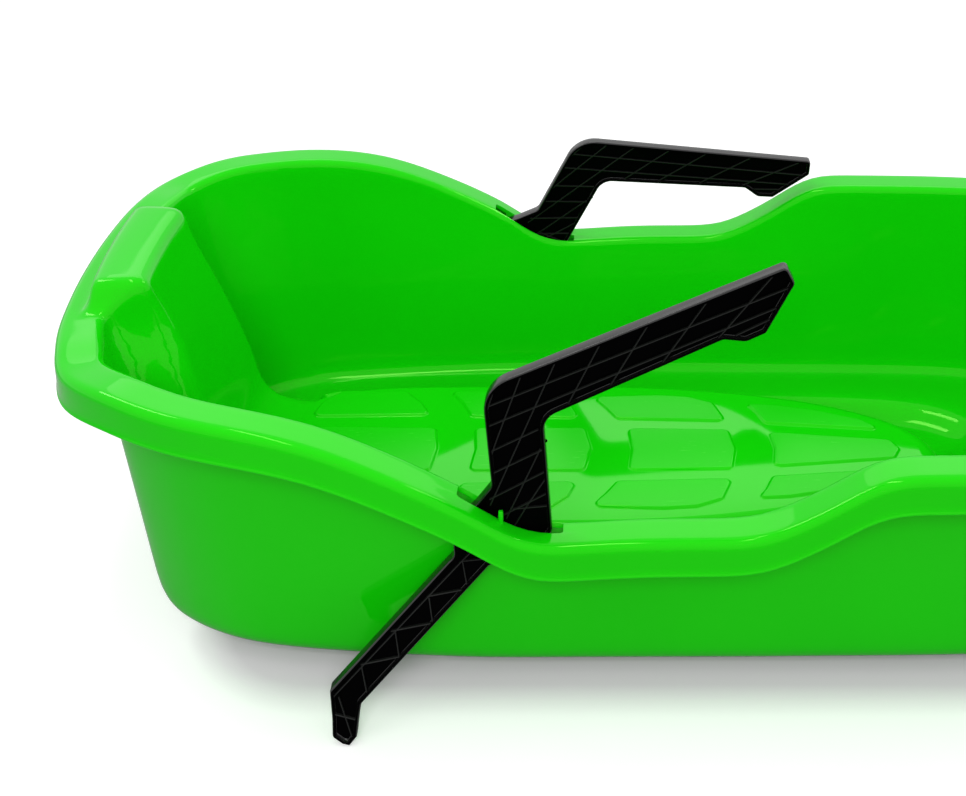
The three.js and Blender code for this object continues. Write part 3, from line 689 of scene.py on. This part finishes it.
hull = make_hull()
levers = [
    make_lever("brake_left", -1, PULLED_TURN, "brake_lever_left", "lever_left"),
    make_lever("brake_right", 1, REST_TURN, "brake_lever_right", "lever_right"),
]
pins = [make_pin("pin_left", -1, "axle_pin_left"), make_pin("pin_right", 1, "axle_pin_right")]

# Materials

TONE_SCALE, RUB_PATCH_SCALE = 7.0, 16.0
# Values of a noise between which each effect grows from nothing to full
TONE_RANGE, RUB_RANGE = (0.3, 0.7), (0.66, 0.74)
RUB_PATCH_RANGE, SCRAPE_RANGE = (0.52, 0.68), (0.42, 0.6)
RUB_STRETCH, RUB_TURN = (60.0, 900.0, 900.0), (0.0, 0.0, 0.35)
WAVE_SCALE, WAVE_DEPTH, WAVE_STRENGTH, GRAIN_DEPTH = 26.0, 0.0004, 0.05, 0.00005
GREEN_LOW, GREEN_HIGH = (0.0045, 0.585, 0.0018), (0.0055, 0.615, 0.0022)
GREEN_SCRAPED, GREEN_TINT = (0.05, 0.68, 0.04), (0.45, 1.0, 0.2, 1.0)
SCRAPE_FULL, SCRAPE_END, SCRAPE_SCALE, SCRAPE_ROUGH = 0.0005, 0.0025, 240.0, 0.4
GREEN_GRAIN_SCALE, BLACK_GRAIN_SCALE = 700.0, 1600.0
GREEN_RUB_ROUGH, BLACK_RUB_ROUGH = 0.05, 0.08
# Name, roughness and grain of the hull's two finishes, in the order of their faces' numbers
GREENS = [("hull_green", 0.05, 0.02), ("pad_green", 0.27, 0.25)]
# Name, dark and light tone, roughness, gloss and grain of the levers' three finishes, likewise; the edge
# and rib ones are lighter copies of the same black, a painted sheen where light catches the lever's rim
# and ribs
BLACKS = [
    ("lever_face", (0.0002, 0.0002, 0.0003), (0.0004, 0.0004, 0.0005), 0.45, 0.012, 0.3),
    ("lever_edge_painted_sheen", (0.002, 0.002, 0.0022), (0.0045, 0.0045, 0.0045), 0.2, 0.6, 0.15),
    ("lever_rib_painted_sheen", (0.004, 0.0045, 0.004), (0.007, 0.008, 0.007), 0.3, 0.3, 0.2),
]
STEEL_LOW, STEEL_HIGH, STEEL_SPOT_SCALE = (0.42, 0.43, 0.45), (0.62, 0.62, 0.63), 900.0
STEEL_SMOOTH, STEEL_ROUGH = 0.22, 0.4
DRAWN_STRETCH, DRAWN_SCALE, DRAWN_DEPTH = (1.0, 60.0, 1.0), 300.0, 0.00002


def group(name, inputs, outputs):
    """An empty node group with value or vector inputs and value, colour or normal outputs."""
    tree = bpy.data.node_groups.new(name, "ShaderNodeTree")
    for socket, kind, value in inputs:
        made = tree.interface.new_socket(socket, in_out="INPUT", socket_type=kind)
        if value is not None:
            made.default_value = value
    for socket, kind in outputs:
        tree.interface.new_socket(socket, in_out="OUTPUT", socket_type=kind)
    return tree, tree.nodes.new("NodeGroupInput"), tree.nodes.new("NodeGroupOutput")


def noise(tree, vector, scale, detail, roughness=0.5):
    node = tree.nodes.new("ShaderNodeTexNoise")
    node.inputs["Scale"].default_value = scale
    node.inputs["Detail"].default_value = detail
    node.inputs["Roughness"].default_value = roughness
    tree.links.new(vector, node.inputs["Vector"])
    return node.outputs["Fac"]


def spread(tree, value, from_low, from_high, low=0.0, high=1.0):
    node = tree.nodes.new("ShaderNodeMapRange")
    node.inputs["From Min"].default_value = from_low
    node.inputs["From Max"].default_value = from_high
    node.inputs["To Min"].default_value = low
    node.inputs["To Max"].default_value = high
    tree.links.new(value, node.inputs["Value"])
    return node.outputs["Result"]


def maths(tree, operation, a, b):
    node = tree.nodes.new("ShaderNodeMath")
    node.operation = operation
    for socket, value in zip(node.inputs, (a, b)):
        if isinstance(value, (int, float)):
            socket.default_value = value
        else:
            tree.links.new(value, socket)
    return node.outputs["Value"]


def moulding_group():
    """Slow waves and fine grain of a moulded plastic skin, with faint rub marks."""
    number, normal = "NodeSocketFloat", "NodeSocketVector"
    tree, given, result = group(
        "moulded_skin",
        [
            ("Place", normal, None), ("Waves", number, 0.1), ("Grain", number, 0.1),
            ("Grain Scale", number, 900.0),
        ],
        [("Tone", number), ("Rubbed", number), ("Normal", normal)],
    )
    place = given.outputs["Place"]
    tone = spread(tree, noise(tree, place, TONE_SCALE, 3), *TONE_RANGE)
    tree.links.new(tone, result.inputs["Tone"])
    stretch = tree.nodes.new("ShaderNodeMapping")
    stretch.inputs["Scale"].default_value = RUB_STRETCH
    stretch.inputs["Rotation"].default_value = RUB_TURN
    tree.links.new(place, stretch.inputs["Vector"])
    marks = spread(tree, noise(tree, stretch.outputs["Vector"], 1.0, 2), *RUB_RANGE)
    where = spread(tree, noise(tree, place, RUB_PATCH_SCALE, 2), *RUB_PATCH_RANGE)
    tree.links.new(maths(tree, "MULTIPLY", marks, where), result.inputs["Rubbed"])
    waves = tree.nodes.new("ShaderNodeBump")
    waves.inputs["Distance"].default_value = WAVE_DEPTH
    tree.links.new(given.outputs["Waves"], waves.inputs["Strength"])
    tree.links.new(noise(tree, place, WAVE_SCALE, 1), waves.inputs["Height"])
    grain = tree.nodes.new("ShaderNodeBump")
    grain.inputs["Distance"].default_value = GRAIN_DEPTH
    tree.links.new(given.outputs["Grain"], grain.inputs["Strength"])
    fine = tree.nodes.new("ShaderNodeTexNoise")
    tree.links.new(place, fine.inputs["Vector"])
    tree.links.new(given.outputs["Grain Scale"], fine.inputs["Scale"])
    tree.links.new(fine.outputs["Fac"], grain.inputs["Height"])
    tree.links.new(waves.outputs["Normal"], grain.inputs["Normal"])
    tree.links.new(grain.outputs["Normal"], result.inputs["Normal"])
    return tree


def material(name):
    """A new material with its nodes, its shader and the place on the object."""
    made = bpy.data.materials.new(name)
    made.use_nodes = True
    tree = made.node_tree
    place = tree.nodes.new("ShaderNodeTexCoord").outputs["Object"]
    return made, tree, tree.nodes["Principled BSDF"], place


def skin(tree, place, grain, grain_scale):
    """The moulded skin placed in one material."""
    node = tree.nodes.new("ShaderNodeGroup")
    node.node_tree = moulded_skin
    tree.links.new(place, node.inputs["Place"])
    node.inputs["Waves"].default_value = WAVE_STRENGTH
    node.inputs["Grain"].default_value = grain
    node.inputs["Grain Scale"].default_value = grain_scale
    return node.outputs


def blend(tree, factor, dark, light):
    node = tree.nodes.new("ShaderNodeMix")
    node.data_type = "RGBA"
    for socket, colour in (("A_Color", dark), ("B_Color", light)):
        target = next(i for i in node.inputs if i.identifier == socket)
        if isinstance(colour, tuple):
            target.default_value = (*colour, 1.0)
        else:
            tree.links.new(colour, target)
    tree.links.new(factor, next(i for i in node.inputs if i.identifier == "Factor_Float"))
    return next(o for o in node.outputs if o.identifier == "Result_Color")


def dulled(tree, look, rub_rough, rough):
    """Roughness with the rub marks added."""
    dull = maths(tree, "MULTIPLY_ADD", look["Rubbed"], rub_rough)
    dull.node.inputs[2].default_value = rough
    return dull


def green_plastic(name, rough, grain):
    """Glossy moulded plastic, a little dulled by rub marks and scraped on the runners."""
    made, tree, shader, place = material(name)
    look = skin(tree, place, grain, GREEN_GRAIN_SCALE)
    tone = blend(tree, look["Tone"], GREEN_LOW, GREEN_HIGH)
    axes = tree.nodes.new("ShaderNodeSeparateXYZ")
    tree.links.new(place, axes.inputs["Vector"])
    under = spread(tree, axes.outputs["Z"], SCRAPE_FULL, SCRAPE_END, 1.0, 0.0)
    scrapes = spread(tree, noise(tree, place, SCRAPE_SCALE, 4), *SCRAPE_RANGE)
    scraped = maths(tree, "MULTIPLY", under, scrapes)
    tree.links.new(blend(tree, scraped, tone, GREEN_SCRAPED), shader.inputs["Base Color"])
    dull = dulled(tree, look, GREEN_RUB_ROUGH, rough)
    roughness = maths(tree, "ADD", dull, maths(tree, "MULTIPLY", scraped, SCRAPE_ROUGH))
    tree.links.new(roughness, shader.inputs["Roughness"])
    tree.links.new(look["Normal"], shader.inputs["Normal"])
    shader.inputs["IOR"].default_value = 1.5
    shader.inputs["Specular Tint"].default_value = GREEN_TINT
    return made


def black_plastic(name, dark, light, rough, gloss, grain):
    """Black moulded plastic with a fine grain."""
    made, tree, shader, place = material(name)
    look = skin(tree, place, grain, BLACK_GRAIN_SCALE)
    tree.links.new(blend(tree, look["Tone"], dark, light), shader.inputs["Base Color"])
    tree.links.new(dulled(tree, look, BLACK_RUB_ROUGH, rough), shader.inputs["Roughness"])
    tree.links.new(look["Normal"], shader.inputs["Normal"])
    shader.inputs["Specular IOR Level"].default_value = gloss
    return made


def pin_steel():
    """Drawn steel rod: fine lines round it and light spots."""
    made, tree, shader, place = material("pin_steel")
    shader.inputs["Metallic"].default_value = 1.0
    spots = noise(tree, place, STEEL_SPOT_SCALE, 3)
    tree.links.new(blend(tree, spots, STEEL_LOW, STEEL_HIGH), shader.inputs["Base Color"])
    lines = tree.nodes.new("ShaderNodeMapping")
    lines.inputs["Scale"].default_value = DRAWN_STRETCH
    tree.links.new(place, lines.inputs["Vector"])
    drawn = noise(tree, lines.outputs["Vector"], DRAWN_SCALE, 2)
    roughness = spread(tree, drawn, *TONE_RANGE, STEEL_SMOOTH, STEEL_ROUGH)
    tree.links.new(roughness, shader.inputs["Roughness"])
    bump = tree.nodes.new("ShaderNodeBump")
    bump.inputs["Strength"].default_value = 0.1
    bump.inputs["Distance"].default_value = DRAWN_DEPTH
    tree.links.new(drawn, bump.inputs["Height"])
    tree.links.new(bump.outputs["Normal"], shader.inputs["Normal"])
    return made


moulded_skin = moulding_group()
for finish in GREENS:
    hull.data.materials.append(green_plastic(*finish))
blacks = [black_plastic(*finish) for finish in BLACKS]
for lever in levers:
    for black in blacks:
        lever.data.materials.append(black)
steel = pin_steel()
for pin in pins:
    pin.data.materials.append(steel)

# Camera

CAMERA_PLACE = (-0.040, -1.003, 0.7665)
CAMERA_TILT = 57.0  # degrees from looking straight down
CAMERA_LENS, SENSOR_WIDTH = 57.06, 36.0  # millimetres
CAMERA_SHIFT = -0.1263


def make_camera():
    data = bpy.data.cameras.new("camera")
    data.lens = CAMERA_LENS
    data.sensor_width = SENSOR_WIDTH
    data.shift_x = CAMERA_SHIFT
    camera = bpy.data.objects.new("camera", data)
    camera.location = CAMERA_PLACE
    camera.rotation_euler = (math.radians(CAMERA_TILT), 0.0, 0.0)
    bpy.context.scene.collection.objects.link(camera)
    bpy.context.scene.camera = camera


# Studio

SKY_LEVEL = 0.7  # of the world as light; what sees it directly sees white
FLOOR_HALF = 6.0
# The floor as light sees it, as the camera sees it, and as the camera sees it beside the sled, where
# less green is painted in to take out the green light the sled bounces onto it
FLOOR_SPREAD, FLOOR_PALE, FLOOR_BOUNCE_PAINTED_OUT = (0.3, 0.3, 0.3), (0.9, 0.9, 0.9), (0.9, 0.82, 0.9)
FLOOR_GLOW, FLOOR_IN_GLOSS = 0.26, 0.15
FOOT_BOX = (0.25, 0.13, 0.0)  # half size of a box inside the sled's foot
# The painted shadow beside the sled fades out between these distances
SHADOW_START, SHADOW_END = 0.068, 0.100  # distances from that box
# Name, place, aim, size, power in watts, and whether glossy surfaces mirror the lamp
LAMPS = [
    ("front", (-0.1, -1.9, 1.5), (0, 0, 0.1), (1.0, 0.8), 23.0, False),
    ("top", (-0.3, -0.05, 1.8), (-0.2, 0, 0.1), (0.9, 0.14), 3.0, True),
    ("right", (1.05, 0.52, 1.46), (0, 0, 0.1), (0.3, 0.6), 3.5, True),
    ("left", (-1.05, 0.52, 1.46), (0, 0, 0.1), (0.3, 0.6), 3.5, True),
    ("back", (0.1, 2.5, 2.25), (0, 0, 0.1), (3.4, 1.0), 9.0, True),
]


def area_light(name, place, aim, size, power, in_gloss):
    data = bpy.data.lights.new(name, "AREA")
    data.shape = "RECTANGLE"
    data.size, data.size_y = size
    data.energy = power
    lamp = bpy.data.objects.new(name, data)
    lamp.location = place
    lamp.rotation_euler = (Vector(aim) - Vector(place)).to_track_quat("-Z", "Y").to_euler()
    lamp.visible_glossy = in_gloss
    bpy.context.scene.collection.objects.link(lamp)


def seen_directly(tree, in_gloss=1.0):
    """1 for camera rays and a share for glossy ones, which see the pale background, else 0."""
    path = tree.nodes.new("ShaderNodeLightPath")
    mirrored = maths(tree, "MULTIPLY", path.outputs["Is Glossy Ray"], in_gloss)
    return maths(tree, "MAXIMUM", path.outputs["Is Camera Ray"], mirrored)


def make_world():
    """An even pale sky that shows as white."""
    world = bpy.data.worlds.new("studio")
    bpy.context.scene.world = world
    world.use_nodes = True
    tree = world.node_tree
    tree.nodes.clear()
    output = tree.nodes.new("ShaderNodeOutputWorld")
    sky = tree.nodes.new("ShaderNodeBackground")
    sky.inputs["Color"].default_value = (1, 1, 1, 1)
    tree.links.new(spread(tree, seen_directly(tree), 0.0, 1.0, SKY_LEVEL, 1.0), sky.inputs["Strength"])
    tree.links.new(sky.outputs["Background"], output.inputs["Surface"])


def vector_maths(tree, operation, a, b=None):
    node = tree.nodes.new("ShaderNodeVectorMath")
    node.operation = operation
    tree.links.new(a, node.inputs[0])
    if b is not None:
        node.inputs[1].default_value = b
    return node


def away_from_sled(tree, place):
    """Distance on the floor from a box that lies inside the sled's foot."""
    mirrored = vector_maths(tree, "ABSOLUTE", place).outputs["Vector"]
    past = vector_maths(tree, "SUBTRACT", mirrored, FOOT_BOX).outputs["Vector"]
    outside = vector_maths(tree, "MAXIMUM", past, (0, 0, 0)).outputs["Vector"]
    return vector_maths(tree, "LENGTH", outside).outputs["Value"]


def make_floor():
    """A matt pale floor that glows a little to the camera, except close beside the sled, where the
    missing glow paints a darker shadow and a less green pale paints out the sled's green bounce light.
    """
    bm = bmesh.new()
    bmesh.ops.create_grid(bm, x_segments=1, y_segments=1, size=FLOOR_HALF)
    floor = new_object("floor", bm)
    made, tree, shader, place = material("floor")
    shader.inputs["Roughness"].default_value = 0.9
    shader.inputs["Specular IOR Level"].default_value = 0.0
    # 1 close beside the sled, 0 past SHADOW_END: the painted shadow and the painted-out green bounce
    # follow it
    near = spread(tree, away_from_sled(tree, place), SHADOW_START, SHADOW_END, 1.0, 0.0)
    # beside the sled the floor is painted less green, which takes out the green bounce light there
    pale = blend(tree, near, FLOOR_PALE, FLOOR_BOUNCE_PAINTED_OUT)
    seen = seen_directly(tree, FLOOR_IN_GLOSS)
    tree.links.new(blend(tree, seen, FLOOR_SPREAD, pale), shader.inputs["Base Color"])
    shader.inputs["Emission Color"].default_value = (1, 1, 1, 1)
    # The glow fades to nothing close beside the sled, which paints a darker shadow there
    glow = spread(tree, near, 0.0, 1.0, FLOOR_GLOW, 0.0)
    tree.links.new(maths(tree, "MULTIPLY", seen, glow), shader.inputs["Emission Strength"])
    floor.data.materials.append(made)


make_camera()
make_world()
make_floor()
for lamp in LAMPS:
    area_light(*lamp)

# Finish

bpy.context.scene.view_settings.view_transform = "Standard"
